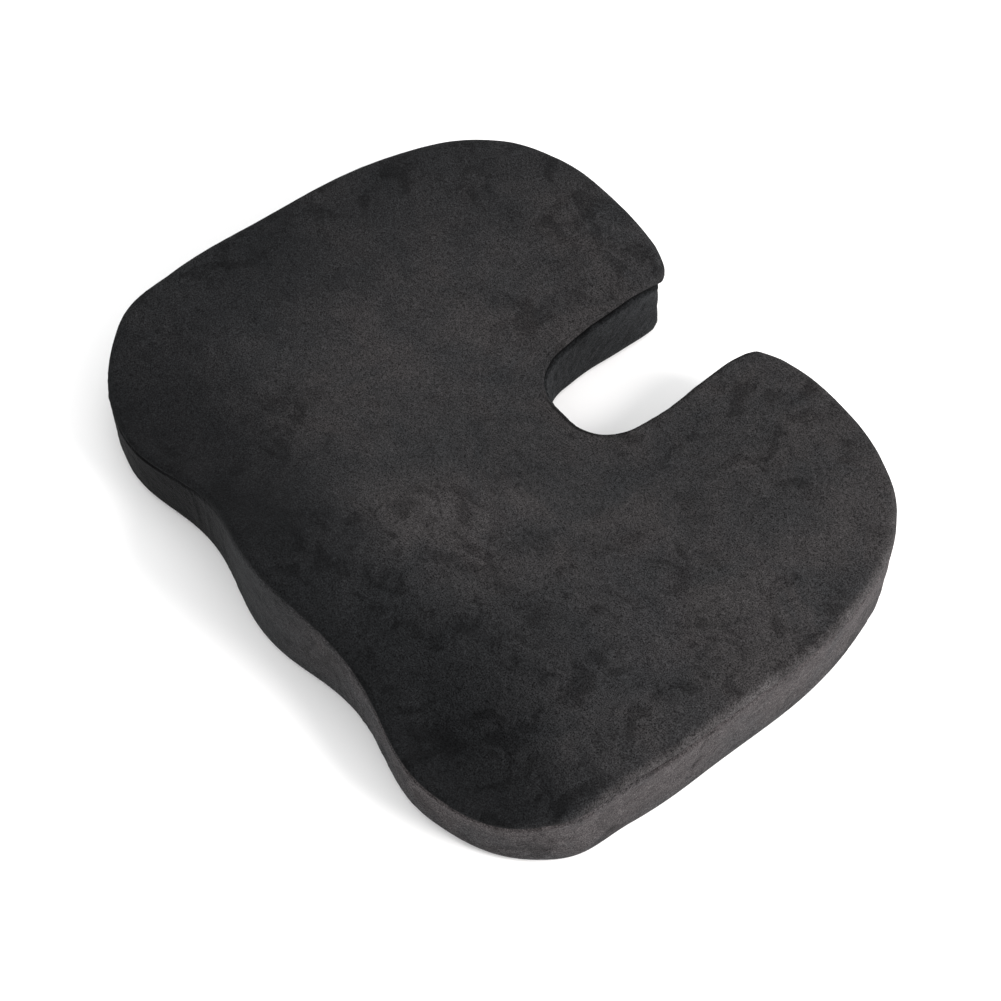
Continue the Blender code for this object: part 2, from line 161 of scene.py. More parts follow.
# ---- the zip, from the CAD
TAPE_LOW, TAPE_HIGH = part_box("zip_tape_rear")
COIL_LOW, COIL_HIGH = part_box("zip_coil_rear")
ZIP_Y = frame["joints"][1]["pos_m"][1]
TAPE_INNER = TAPE_LOW.y - ZIP_Y
TAPE_OUTER = TAPE_HIGH.y - ZIP_Y
COIL_MIDDLE = (COIL_LOW.z + COIL_HIGH.z) / 2
WINDOW_HALF = 6.5 * MM  # the hems leave this much open each side of the zip's middle
WINDOW_END = TAPE_HIGH.x + 5 * MM
TAPE_RIBS = 496
CAST_EDGE = 0.12 * MM  # rounding of the slider's and the pull's edges

# ---- painted light and shade on the velour
SIDE_SHADE = (0.58, 0.94)  # painted shade, left edge of the top to its middle
FRONT_SHADE = (0.37, 0.92)  # painted shade, front edge of the top to its middle
RIGHT_EDGE_HIGHLIGHT = 0.8  # how much lighter the painted highlight makes the right shoulder than the flat beside it
FAR_EDGE_SHADE = 0.6  # painted shade on the left and back shoulders
WALL_SHADE = (0.10, 1.05)  # painted shade and light, front left of the wall to its right side
FRONT_WALL_LIGHT = 1.14  # how much lighter painted light makes the front of the wall
FOOT_SHADE = (0.72, 1.0)  # painted shade, foot of the wall to half its height
# Each mark is (x, y, reach, change in lightness): painted highlight or painted shade where the
# light falls more or less, such as on the pommel's right ridge and in the thigh trough, mixed with
# where a hand has turned the pile.
NAP_AND_SHADE_MARKS = (
    (0.035, -0.070, 0.075, 0.32), (0.110, -0.105, 0.105, -0.30), (0.010, 0.005, 0.070, -0.14),
    (-0.200, -0.030, 0.090, -0.15), (0.215, 0.095, 0.110, 0.10), (-0.060, -0.110, 0.060, -0.12),
)

# ---- underside
UNDER_Z = 0.75 * MM  # underside of the grip fabric, held up by its dots
DOT_PITCH = 6.6 * MM
DOT_RADIUS = 1.25 * MM
DOT_SIDES = 9
DOT_RINGS = ((1.0, 0.15), (0.93, -0.45), (0.62, -0.85))  # share of radius, share of height
PANEL_GRID = 4.2 * MM
PANEL_GAP = 0.2 * MM  # each panel stops this far from the middle of the zip
# Millimetres in from the wall's foot, and up.
PANEL_RIM = ((4.8, 3.2), (4.7, 1.8), (4.7, 1.1), (5.3, 0.8), (6.5, 0.75))
# Millimetres out from the fold, and up, where the hem turns over and runs back.
HEM = ((-0.35, 0.15), (-0.5, 0.6), (-0.35, 1.1), (0.1, 1.3), (4.0, 1.45), (9.5, 1.5))
HEM_COLUMNS = 206
HEM_STITCHES = 2.6 * MM  # sewn this far from the fold
STRAND_SIDES = 6  # of the thread and of the zip's coils


def smoothstep(value):
    value = np.clip(value, 0, 1)
    return value * value * (3 - 2 * value)


def fade(value, zero, one):
    """0 where the value is at or before zero, 1 at or past one, and smooth between."""
    return smoothstep((value - zero) / (one - zero))


def falloff(away, reach):
    """1 at no distance, falling smoothly to a third at the reach."""
    return np.exp(-(away / reach) ** 2)


def noise_field(points, wavelength, seed):
    """Smooth noise from -1 to 1 at each point, its bumps about a wavelength apart."""
    shift = Vector((seed * 7.3, seed * 3.1, seed * 5.7))
    return np.array([noise.noise(Vector(p) / wavelength + shift) for p in points])


def crown_height(x, y):
    """Height of the top at plan coordinates given as arrays."""
    height = np.full(np.shape(x), RIM_HEIGHT)
    for depth, mid_x, mid_y, spread_x, spread_y in (SEAT_BOWL, THIGH_TROUGH, POMMEL):
        across = (np.abs(x) - mid_x) / spread_x
        along = (y - mid_y) / spread_y
        height = height + depth * np.exp(-across ** 2 - along ** 2)
    return height


def smooth_outline():
    """The closed outline through its design points, as evenly spaced plan points."""
    design = list(HALF_OUTLINE) + [(-x, y) for x, y in reversed(HALF_OUTLINE[1:-1])]
    curve = bpy.data.curves.new("outline", "CURVE")
    curve.dimensions = "2D"
    curve.fill_mode = "NONE"
    curve.resolution_u = OUTLINE_STEPS
    spline = curve.splines.new("BEZIER")
    spline.bezier_points.add(len(design) - 1)
    for point, (x, y) in zip(spline.bezier_points, design):
        point.co = (x, y, 0.0)
        point.handle_left_type = "AUTO"
        point.handle_right_type = "AUTO"
    spline.use_cyclic_u = True
    guide = bpy.data.objects.new("outline", curve)
    bpy.context.scene.collection.objects.link(guide)
    evaluated = guide.evaluated_get(bpy.context.evaluated_depsgraph_get())
    mesh = bpy.data.meshes.new_from_object(evaluated)
    points = np.array([v.co[:2] for v in mesh.vertices])
    bpy.data.objects.remove(guide, do_unlink=True)
    points[:, 1] -= (points[:, 1].min() + points[:, 1].max()) / 2
    points *= (cad_box[1].x - cad_box[0].x) / np.ptp(points[:, 0])
    beside_slot = fade(np.abs(points[:, 0]), *SLOT_SHIFT_X)
    points[:, 0] += SLOT_SHIFT * beside_slot * fade(points[:, 1], *SLOT_SHIFT_Y)
    at_back = points[:, 1] > 0.1
    points[:, 1] -= LEFT_TUCK * falloff(points[:, 0] - LEFT_TUCK_X, LEFT_TUCK_REACH) * at_back
    closed = np.vstack([points, points[:1]])
    travel = np.r_[0, np.cumsum(np.linalg.norm(np.diff(closed, axis=0), axis=1))]
    stops = np.linspace(0, travel[-1], COLUMNS, endpoint=False)
    return np.column_stack([np.interp(stops, travel, closed[:, axis]) for axis in (0, 1)])


class Form:
    """The outline, and what varies along it."""

    def __init__(self):
        self.outline = smooth_outline()
        along = np.roll(self.outline, -1, 0) - np.roll(self.outline, 1, 0)
        self.inward = np.column_stack([-along[:, 1], along[:, 0]])
        self.inward /= np.linalg.norm(self.inward, axis=1)[:, None]
        x, y = self.outline.T
        to_lip = np.hypot(np.abs(x) - LIP.x, y - LIP.y)
        self.lip = falloff(to_lip, LIP_REACH)
        self.by_lip = fade(to_lip, *LIP_FOLDS)
        past_cut = (np.abs(x) - LIP_CUT.x) * LIP_CUT_FACING.x + (y - LIP_CUT.y) * LIP_CUT_FACING.y
        self.lip_cut = np.logaddexp(0, past_cut / LIP_ROUND) * LIP_ROUND
        self.slot = fade(np.abs(x), *SLOT_SIDES) * (y > 0)
        self.front = fade(self.inward[:, 1], 0, FACING_FRONT)
        self.shoulder = SHOULDER_SIDE + (SHOULDER_FRONT - SHOULDER_SIDE) * self.front
        self.shoulder += (SHOULDER_SLOT - self.shoulder) * self.slot
        self.shoulder += (SHOULDER_LIP - self.shoulder) * self.lip
        self.fall = self.shoulder + LIP_FALL * falloff(to_lip, LIP_FALL_REACH)
        self.seam_z = crown_height(x, y) - self.fall - SEAM_DROP
        spots = np.column_stack([x, y, np.zeros(COLUMNS)])
        self.pucker = 0.5 + 0.5 * noise_field(spots, 0.011, 1)
        self.pucker_fine = noise_field(spots, 0.005, 2)
        self.loose = smoothstep(0.5 + 0.9 * noise_field(spots, 0.06, 3))
        to_parting = np.hypot(x - SEAM_PARTING.x, y - SEAM_PARTING.y)
        self.parted = falloff(to_parting, SEAM_PARTING_REACH)
        slightly = smoothstep(0.1 + 2.2 * noise_field(spots, 0.045, 9))
        self.parted += 0.22 * slightly * (1 - self.front)
        self.parted = np.minimum(self.parted, 1) * (0.65 + 0.35 * self.pucker)
        # How dark the top seam is painted: painted shade in its groove and crushed pile, full in
        # the slot and at the lips, more where the pile parts.
        self.crush_and_shade = np.clip(self.parted - 0.1 + self.slot + self.lip, 0, 1)
        # Round the slot's closed end the seam rolls up on to the top, drawn only as a painted dark
        # line.
        self.rolled = fade(self.inward[:, 0], -0.45, 0.05) * self.slot
        self.rolled *= 1 - 0.7 * fade(self.inward[:, 0], 0.5, 0.9)

    def plan(self, inset):
        """Plan points moved inwards; inset is a number or one value for each column."""
        return self.outline + self.inward * np.broadcast_to(inset, COLUMNS)[:, None]

    def ring(self, inset, height):
        return np.column_stack([self.plan(inset), np.broadcast_to(height, COLUMNS)])

    def under_ring(self, inset, height):
        """A ring inset below the wall's foot, rounded at the lips where it would fold."""
        ring = self.ring(wall_inset(self, 0.0) + inset, height)
        for _ in range(5 * min(round(inset / MM), 4)):
            middle = (np.roll(ring, 1, 0) + np.roll(ring, -1, 0)) / 2
            ring[:, :2] += 0.5 * self.by_lip[:, None] * (middle - ring)[:, :2]
        return ring

    def nearest(self, spot):
        return int(np.argmin(np.hypot(*(self.outline - spot).T)))


def inside(loop, spots):
    """Which plan spots lie inside a closed loop of plan points."""
    hit = np.zeros(len(spots), bool)
    for start, end in zip(np.roll(loop, 1, 0), loop):
        crosses = (start[1] > spots[:, 1]) != (end[1] > spots[:, 1])
        share = (spots[:, 1] - start[1]) / (end[1] - start[1] or 1e-12)
        hit ^= crosses & (spots[:, 0] < start[0] + share * (end[0] - start[0]))
    return hit


def clearance(loop, spots):
    """Plan distance from each spot to the nearest point of a loop."""
    nearest = np.full(len(spots), np.inf)
    for point in loop:
        nearest = np.minimum(nearest, np.hypot(*(spots - point).T))
    return nearest


def grid_inside(loop, pitch, margin, reach_x=0.225, reach_y=0.175):
    """Plan points of a triangular grid inside a loop, more than a margin away from it."""
    rise = pitch * math.sqrt(3) / 2
    spots = []
    for row in range(int(2 * reach_y / rise) + 1):
        first = -reach_x + (pitch / 2 if row % 2 else 0.0)
        spots += [(first + step * pitch, -reach_y + row * rise)
                  for step in range(int(2 * reach_x / pitch) + 1)]
    spots = np.array(spots)
    spots = spots[inside(loop, spots)]
    return spots[clearance(loop, spots) > margin]


def fill(loop, spots, loop_start, spots_start):
    """Triangles that fill a plan loop with spots in it, as vertices counted from the starts."""
    count = len(loop)
    points = [Vector(p) for p in (*loop, *spots)]
    edges = [(i, (i + 1) % count) for i in range(count)]
    _, _, faces, sources, _, _ = delaunay_2d_cdt(points, edges, [], 1, 1e-7)
    index = [source[0] + (loop_start if source[0] < count else spots_start - count)
             for source in sources]
    return [tuple(index[i] for i in face) for face in faces]


# ---- meshes
def mesh_object(name, verts, faces, smooth=True):
    mesh = bpy.data.meshes.new(name)
    mesh.from_pydata([tuple(v) for v in verts], [], faces)
    mesh.update()
    item = bpy.data.objects.new(name, mesh)
    bpy.context.scene.collection.objects.link(item)
    if smooth:
        mesh.shade_smooth()
    return item


def strip_faces(rows, columns, closed):
    """Quads between rows of points, each row holding the same number of columns."""
    faces = []
    for row in range(rows - 1):
        for column in range(columns if closed else columns - 1):
            a = row * columns + column
            b = row * columns + (column + 1) % columns
            faces.append((a, b, b + columns, a + columns))
    return faces


def tube_faces(rings, sides, start, tip=None):
    """Faces of a capped tube made of rings of points, whose far end may come to a tip."""
    faces = []
    for ring in range(rings - 1):
        for side in range(sides):
            a = start + ring * sides + side
            b = start + ring * sides + (side + 1) % sides
            faces.append((a, a + sides, b + sides, b))
    faces.append(tuple(start + side for side in range(sides)))
    last = start + (rings - 1) * sides
    if tip is None:
        faces.append(tuple(last + side for side in reversed(range(sides))))
    else:
        faces += [(last + (side + 1) % sides, last + side, tip) for side in range(sides)]
    return faces


def circle(sides):
    """Points of a unit circle, as (cosine, sine)."""
    turn = np.linspace(0, 2 * math.pi, sides, endpoint=False)
    return np.column_stack([np.cos(turn), np.sin(turn)])


def mark_crush_and_shade(item, shares):
    """Store on each vertex how dark it is painted: painted shade in seams and creases, with
    crushed pile, for the velour material.
    """
    attribute = item.data.attributes.new("crush_and_shade", "FLOAT", "POINT")
    attribute.data.foreach_set("value", np.clip(shares, 0, 1).astype(np.float32).ravel())


def thicken(item, thickness):
    modifier = item.modifiers.new("fabric_thickness", "SOLIDIFY")
    modifier.thickness = thickness
    modifier.offset = -1.0


# ---- materials
class Nodes:
    """A short way to write a node material."""

    def __init__(self, name):
        self.material = bpy.data.materials.new(name)
        self.material.use_nodes = True
        self.tree = self.material.node_tree
        self.shader = self.tree.nodes["Principled BSDF"]
        self.place = self.add("ShaderNodeTexCoord").outputs["Object"]

    def feed(self, socket, value):
        """Set a socket to a value, or link it to the socket that the value is."""
        if isinstance(value, bpy.types.NodeSocket):
            self.tree.links.new(value, socket)
        else:
            socket.default_value = value

    def add(self, kind, inputs=None, **settings):
        node = self.tree.nodes.new(kind)
        for key, value in settings.items():
            setattr(node, key, value)
        for key, value in (inputs or {}).items():
            self.feed(node.inputs[key], value)
        return node

    def noise(self, scale, detail=2.0, roughness=0.5, stretch=None, distortion=0.0):
        place = self.place
        if stretch:
            mapping = self.add("ShaderNodeMapping", {"Vector": place, "Scale": stretch})
            place = mapping.outputs["Vector"]
        inputs = {"Vector": place, "Scale": scale, "Detail": detail,
                  "Roughness": roughness, "Distortion": distortion}
        return self.add("ShaderNodeTexNoise", inputs).outputs["Fac"]

    def wave(self, scale, distortion, direction):
        inputs = {"Vector": self.place, "Scale": scale, "Distortion": distortion}
        return self.add("ShaderNodeTexWave", inputs, bands_direction=direction).outputs["Fac"]

    def remap(self, value, low, high, to_low=0.0, to_high=1.0):
        inputs = {"Value": value, "From Min": low, "From Max": high,
                  "To Min": to_low, "To Max": to_high}
        return self.add("ShaderNodeMapRange", inputs).outputs["Result"]

    def smooth(self, value, low, high, to_low=0.0, to_high=1.0):
        result = self.remap(value, low, high, to_low, to_high)
        result.node.interpolation_type = "SMOOTHSTEP"
        return result

    def vary(self, noise, share, low=0.3, high=0.7):
        """1, less a share where a noise is low and more a share where it is high."""
        return self.remap(noise, low, high, 1 - share, 1 + share)

    def math(self, operation, first, second):
        return self.add("ShaderNodeMath", {0: first, 1: second}, operation=operation).outputs[0]

    def product(self, *factors):
        result = factors[0]
        for factor in factors[1:]:
            result = self.math("MULTIPLY", result, factor)
        return result

    def vector(self, operation, first, second, output="Vector"):
        node = self.add("ShaderNodeVectorMath", {0: first, 1: second}, operation=operation)
        return node.outputs[output]

    def axes(self, vector):
        return self.add("ShaderNodeSeparateXYZ", {0: vector}).outputs

    def scaled(self, colour, share):
        """A colour made darker or lighter by a factor."""
        return self.add("ShaderNodeVectorMath", {0: colour, "Scale": share},
                        operation="SCALE").outputs[0]

    def mix(self, factor, first, second):
        node = self.add("ShaderNodeMix", data_type="RGBA")
        for key, value in (("Factor", factor), ("A", first), ("B", second)):
            self.feed(next(s for s in node.inputs if s.name == key and s.enabled), value)
        return next(s for s in node.outputs if s.enabled)

    def bump(self, height, strength, distance, normal=None):
        inputs = {"Height": height, "Strength": strength, "Distance": distance}
        if normal is not None:
            inputs["Normal"] = normal
        return self.add("ShaderNodeBump", inputs).outputs["Normal"]

    def finish(self, **sockets):
        for key, value in sockets.items():
            name = key.replace("_", " ").title().replace("Ior", "IOR")
            self.feed(self.shader.inputs[name], value)
        return self.material


def grey(level, warmth=0.0):
    """A near-neutral colour; warmth above 0 leans it to red."""
    return (level * (1 + warmth), level, level * (1 - warmth), 1.0)


def top_painted_light(n):
    """Painted light and shade on the top: darker towards the front and the left, a painted
    highlight on the right shoulder, painted shade on the left and back shoulders, and painted
    spots.
    """
    wander = n.add("ShaderNodeTexNoise", {"Vector": n.place, "Scale": 14.0, "Detail": 4.0})
    shifted = n.vector("SUBTRACT", wander.outputs["Color"], (0.5, 0.5, 0.5))
    bent = n.vector("ADD", n.place, n.scaled(shifted, 0.07))
    flat = n.vector("MULTIPLY", bent, (1.0, 1.0, 0.0))
    x, y, _ = n.axes(bent)
    # Painted shade towards the left and towards the front of the top.
    side = n.smooth(x, -0.22, -0.07, *SIDE_SHADE)
    front = n.product(n.smooth(y, -0.168, -0.070, *FRONT_SHADE),
                      n.remap(y, -0.11, -0.02, 0.88, 1.0))
    face_x, face_y, _ = n.axes(n.add("ShaderNodeTexCoord").outputs["Normal"])
    # Painted highlight on the right shoulder, painted shade on the left and back shoulders.
    lit_edge = n.product(n.smooth(face_x, 0.08, 0.95, 0.0, RIGHT_EDGE_HIGHLIGHT),
                         n.smooth(x, 0.10, 0.19))
    shade = n.product(n.math("MINIMUM", side, front), n.math("ADD", lit_edge, 1.0),
                      n.smooth(face_x, -0.95, -0.35, FAR_EDGE_SHADE, 1.0),
                      n.smooth(face_y, 0.95, 0.35, FAR_EDGE_SHADE, 1.0))
    # Painted highlight and painted shade in spots, with some turned pile.
    for mark_x, mark_y, reach, gain in NAP_AND_SHADE_MARKS:
        away = n.vector("DISTANCE", flat, (mark_x, mark_y, 0.0), "Value")
        shade = n.product(shade, n.smooth(away, 0.0, reach, 1.0 + gain, 1.0))
    return shade


def wall_painted_light(n):
    """Painted light and shade on the wall: dim at the front left, lit on the right side and at the
    front, and shaded towards its foot.
    """
    x, y, z = n.axes(n.place)
    return n.product(n.smooth(x, -0.09, 0.155, *WALL_SHADE), n.remap(z, 0.003, 0.034, *FOOT_SHADE),
                     n.smooth(y, -0.10, -0.15, 1.0, FRONT_WALL_LIGHT))


def velour_material(name, level, sheen, painted_light, seed, streaks=None, lit_warmth=0.04):
    """Black short-pile velour: nap lying this way and that in soft patches, and a fine pile, under
    painted light and shade and painted seam and crease shade.
    """
    n = Nodes(name)
    # Painted light and shade over the whole piece, from the function given.
    painted_shading = painted_light(n)
    n.place = n.vector("ADD", n.place, (seed, seed * 0.7, seed * 0.3))
    patches = n.noise(20.0, 4.0, 0.62, distortion=0.6)
    mottle = n.noise(75.0, 3.0, 0.6)
    marks = n.noise(48.0, 4.0, 0.65, distortion=0.8)
    clusters = n.noise(9.0)
    pile = n.noise(1250.0, 2.0, 0.75)
    lint = n.noise(420.0, 2.0, 0.6)
    marked = n.product(n.smooth(marks, 0.50, 0.62), n.smooth(clusters, 0.42, 0.56))
    # Painted shade in the seams and creases, stored on the vertices.
    crush_and_shade = n.add("ShaderNodeAttribute", attribute_name="crush_and_shade").outputs["Fac"]
    shade = n.product(
        painted_shading,
        n.vary(patches, 0.14, 0.34, 0.64),
        n.vary(mottle, 0.10),
        n.remap(marked, 0.0, 1.0, 1.0, 0.62),
        n.remap(crush_and_shade, 0.0, 1.0, 1.0, 0.12),
        n.vary(pile, 1.10, 0.28, 0.72),
        n.vary(lint, 0.20, 0.28, 0.72),
    )
    # Colour leans warmer where painted light is bright and bluer where painted shade and the
    # darker random patches are.
    tone = n.mix(n.remap(n.product(painted_shading, patches), 0.15, 0.55),
                 (level * 0.94, level, level * 1.07, 1.0),
                 (level * (1 + lit_warmth), level * 0.985, level, 1.0))
    normal = n.bump(patches, 0.30, 3.0 * MM)
    normal = n.bump(mottle, 0.30, 0.9 * MM, normal)
    if streaks:
        turn, stretch, contrast = streaks
        rotation = (math.radians(turn), 0, 0)
        turned = n.add("ShaderNodeMapping", {"Vector": n.place, "Rotation": rotation})
        n.place = turned.outputs["Vector"]
        strands = n.noise(520.0, 3.0, 0.6, stretch=stretch)
        tufts = n.noise(620.0, 2.0, 0.6)
        shade = n.product(shade, n.vary(tufts, 0.28), n.vary(strands, contrast))
        normal = n.bump(tufts, 0.7, 0.7 * MM, normal)
        normal = n.bump(strands, 0.2 + 1.5 * contrast, 0.8 * MM, normal)
    normal = n.bump(lint, 0.35, 0.5 * MM, normal)
    normal = n.bump(pile, 0.85, 0.45 * MM, normal)
    return n.finish(base_color=n.scaled(tone, shade), roughness=0.95, normal=normal,
                    sheen_weight=sheen, sheen_roughness=0.42,
                    sheen_tint=(0.76, 0.76, 0.78, 1.0), specular_ior_level=0.05)


def grip_material():
    """Tightly woven black polyester, the ground of the anti-slip underside."""
    n = Nodes("grip_fabric")
    weave = n.product(n.wave(480.0, 0.6, "X"), n.wave(480.0, 0.6, "Y"))
    wear = n.noise(14.0, 4.0, 0.6)
    level = n.product(n.remap(weave, 0.0, 1.0, 0.7, 1.25), n.vary(wear, 0.15))
    normal = n.bump(weave, 0.5, 0.25 * MM, n.bump(wear, 0.2, 1.5 * MM))
    return n.finish(base_color=n.scaled((0.022, 0.022, 0.023), level), roughness=0.82,
                    normal=normal, sheen_weight=0.12, sheen_roughness=0.5,
                    specular_ior_level=0.25)


def rubber_material():
    n = Nodes("grip_dots")
    dust = n.noise(160.0, 3.0, 0.6)
    colour = n.mix(n.remap(dust, 0.4, 0.75), grey(0.012), grey(0.03, 0.03))
    return n.finish(base_color=colour, roughness=n.remap(dust, 0.3, 0.7, 0.42, 0.62),
                    normal=n.bump(n.noise(900.0), 0.3, 0.1 * MM), specular_ior_level=0.4)


def ribbed_material(name, level, ribs):
    """Woven tape or thread with ribs across it."""
    n = Nodes(name)
    rib = n.wave(ribs, 0.3, "DIAGONAL")
    fuzz = n.noise(1200.0)
    shade = n.product(n.remap(rib, 0.0, 1.0, 0.75, 1.2), n.vary(fuzz, 0.2))
    normal = n.bump(rib, 0.5, 0.15 * MM, n.bump(fuzz, 0.3, 0.08 * MM))
    return n.finish(base_color=n.scaled((level, level, level * 1.03), shade), roughness=0.8,
                    normal=normal, sheen_weight=0.15, specular_ior_level=0.3)


def coil_material():
    n = Nodes("zip_coil")
    scuff = n.noise(700.0, 3.0)
    colour = n.mix(n.remap(scuff, 0.35, 0.7), grey(0.016), grey(0.032))
    return n.finish(base_color=colour, roughness=n.remap(scuff, 0.3, 0.7, 0.28, 0.5),
                    normal=n.bump(scuff, 0.15, 0.05 * MM))


def lacquer_material():
    """Black lacquer on a zinc casting, rubbed thin on its edges."""
    n = Nodes("black_metal")
    edge = n.add("ShaderNodeBevel", {"Radius": 0.35 * MM}, samples=4).outputs["Normal"]
    flat = n.add("ShaderNodeNewGeometry").outputs["Normal"]
    bent = n.vector("DOT_PRODUCT", edge, flat, "Value")
    scratch = n.noise(900.0, 4.0, 0.7, stretch=(1.0, 4.0, 4.0))
    worn = n.product(n.remap(bent, 0.99, 0.86), n.remap(scratch, 0.42, 0.6))
    colour = n.mix(worn, grey(0.018), grey(0.34, 0.03))
    return n.finish(base_color=colour, metallic=n.remap(worn, 0.0, 1.0, 0.25, 1.0),
                    roughness=n.remap(scratch, 0.3, 0.7, 0.24, 0.42),
                    normal=n.bump(scratch, 0.12, 0.06 * MM))


def foam_material():
    n = Nodes("memory_foam")
    pores = n.add("ShaderNodeTexVoronoi", {"Vector": n.place, "Scale": 700.0}).outputs["Distance"]
    tint = n.noise(12.0, 3.0)
    colour = n.mix(tint, (0.80, 0.70, 0.47, 1.0), (0.87, 0.80, 0.60, 1.0))
    return n.finish(base_color=colour, roughness=0.95,
                    normal=n.bump(pores, 0.5, 0.3 * MM), specular_ior_level=0.1)


# ---- the simulated wall
def wall_inset(form, level):
    """How far in the wall lies at a share of its height, before it wrinkles."""
    foot = 0.3 * MM * fade(level, 0.15, 0)
    draft = (0.2 * MM - SLOT_DRAFT * (1 - level)) * form.slot
    return foot + draft + form.lip_cut


def wall_rows(form, depth=0.0):
    levels = np.linspace(0, 1, WALL_ROWS)
    span = form.seam_z - WALL_FOOT
    return np.array([form.ring(wall_inset(form, level) + depth, WALL_FOOT + level * span)
                     for level in levels])


def refine(rows):
    """Halve the spacing of a closed grid of points both ways, along smooth curves."""
    before, after = np.roll(rows, 1, 1), np.roll(rows, -1, 1)
    middle = (9 * (rows + after) - before - np.roll(rows, -2, 1)) / 16
    wide = np.stack([rows, middle], 2).reshape(rows.shape[0], -1, 3)
    padded = np.vstack([2 * wide[:1] - wide[1:2], wide, 2 * wide[-1:] - wide[-2:-1]])
    between = (9 * (padded[1:-2] + padded[2:-1]) - padded[:-3] - padded[3:]) / 16
    tall = np.empty((2 * wide.shape[0] - 1, *wide.shape[1:]))
    tall[::2] = wide
    tall[1::2] = between
    return tall


def crease_wall(rows, form):
    """Press fine creases into the wall's refined grid: the new points, and the painted shade in
    each crease.
    """
    shape = rows.shape[:2]
    spots = rows.reshape(-1, 3)
    x, y, z = spots.T
    level = np.repeat(np.linspace(0, 1, shape[0]), shape[1])
    slot, lip, front = (np.tile(np.repeat(share, 2), shape[0])
                        for share in (form.slot, form.lip, form.front))
    streaks = noise_field(spots * (0.3, 0.3, 1.0), 0.0045, 11)
    dimples = noise_field(spots * (0.7, 0.7, 1.0), 0.0090, 12)
    down = y * math.cos(PUCKER_LEAN) + z * math.sin(PUCKER_LEAN)
    across = -y * math.sin(PUCKER_LEAN) + z * math.cos(PUCKER_LEAN)
    puckers = noise_field(np.column_stack([x, 0.25 * down, across]), 0.0042, 13)
    streak_depth = STREAK_DEPTH + (FRONT_STREAK_DEPTH - STREAK_DEPTH) * front
    relief = (streak_depth * streaks + DIMPLE_DEPTH * dimples) * (1 - slot)
    gathers = falloff(np.hypot(x - GATHER.x, y - GATHER.y), GATHER_REACH)
    relief += GATHER_DEPTH * puckers * gathers
    slot_puckers = PUCKER_DEPTH * puckers * (0.35 + 0.65 * smoothstep(level * 1.6))
    relief += (SLOT_STREAK_DEPTH * streaks + slot_puckers) * slot
    relief += PUCKER_DEPTH * puckers * lip
    broken = smoothstep(4.0 * noise_field(spots * (1.0, 1.0, 0.0), 0.011, 14) - 0.3)
    beside = sum(falloff(x - fold_x, FOOT_FOLD_REACH) for fold_x in FOOT_FOLDS)
    folds = falloff(z - FOOT_FOLD_Z, FOOT_FOLD_HEIGHT) * broken * beside * front
    relief -= FOOT_FOLD_DEPTH * folds
    relief *= smoothstep(np.minimum(level, 1 - level) * 12)
    # Painted shade in the deepest creases and in the folds above the foot.
    crease_shade = np.maximum(0.5 * smoothstep(-relief / CREASE_SHADE_DEPTH), folds).reshape(shape)
    return rows + relief.reshape(*shape, 1) * MM * grid_normals(rows), crease_shade


def grid_normals(rows):
    """Outward normals of a closed grid of points, rows from bottom to top."""
    along = np.roll(rows, -1, 1) - np.roll(rows, 1, 1)
    up = np.gradient(rows, axis=0)
    normals = np.cross(along, up)
    return normals / np.linalg.norm(normals, axis=2)[..., None]


def simulate_wall(form):
    """Let the wall's fabric, cut a little too big, settle against the foam into soft wrinkles."""
    rows = wall_rows(form)
    rng = np.random.default_rng(4)
    jitter = rng.normal(0, WALL_JITTER, (WALL_ROWS, COLUMNS, 1)) * grid_normals(rows)
    jitter[[0, -1]] = 0
    faces = strip_faces(WALL_ROWS, COLUMNS, True)
    cloth = mesh_object("wall_cloth", (rows + jitter).reshape(-1, 3), faces)
    foam = mesh_object("foam_collider", wall_rows(form, WALL_GAP).reshape(-1, 3), faces)
    foam.modifiers.new("collision", "COLLISION")
    foam.collision.thickness_outer = 0.4 * MM
    edge = [*range(COLUMNS), *range((WALL_ROWS - 1) * COLUMNS, WALL_ROWS * COLUMNS)]
    cloth.vertex_groups.new(name="seams").add(edge, 1.0, "REPLACE")
    ease = cloth.vertex_groups.new(name="ease")
    loose = 0.25 + 0.35 * form.loose + 0.6 * form.slot + 0.9 * form.lip
    for column, weight in enumerate(np.clip(loose, 0, 1)):
        in_column = list(range(column, WALL_ROWS * COLUMNS, COLUMNS))
        ease.add(in_column, float(weight), "REPLACE")
    modifier = cloth.modifiers.new("cloth", "CLOTH")
    for key, value in WALL_CLOTH.items():
        setattr(modifier.settings, key, value)
    modifier.settings.effector_weights.gravity = 0
    modifier.collision_settings.distance_min = 0.6 * MM
    scene = bpy.context.scene
    for step in range(1, WALL_STEPS + 1):
        scene.frame_set(step)
    settled = cloth.evaluated_get(bpy.context.evaluated_depsgraph_get()).to_mesh()
    found = np.array([v.co[:] for v in settled.vertices]).reshape(rows.shape)
    for item in (cloth, foam):
        bpy.data.objects.remove(item, do_unlink=True)
    scene.frame_set(1)
    move = found - rows
    reach = np.linalg.norm(move, axis=2)[..., None]
    return rows + move * np.minimum(1, WALL_EASE / np.maximum(reach, 1e-9))


# ---- the cover
def seam_depth(form):
    """How far the fabric is drawn in at the top seam, column by column."""
    drawn = 0.35 + 0.65 * form.loose
    depth = 0.25 + 0.4 * form.pucker * drawn + 0.12 * form.pucker_fine + 1.5 * form.parted
    return np.maximum(depth + 1.6 * form.slot, 0.3) * MM


def seam_rise(form):
    """Height of the top seam, which wanders a little."""
    return form.seam_z + (0.35 * form.pucker_fine + 0.5 * (form.pucker - 0.5)) * MM


def seam_fold(form, away):
    """Share of the seam's depth left at a distance above or below it, wider where it parts."""
    return falloff(away, (1.0 + 0.7 * form.parted) * MM)


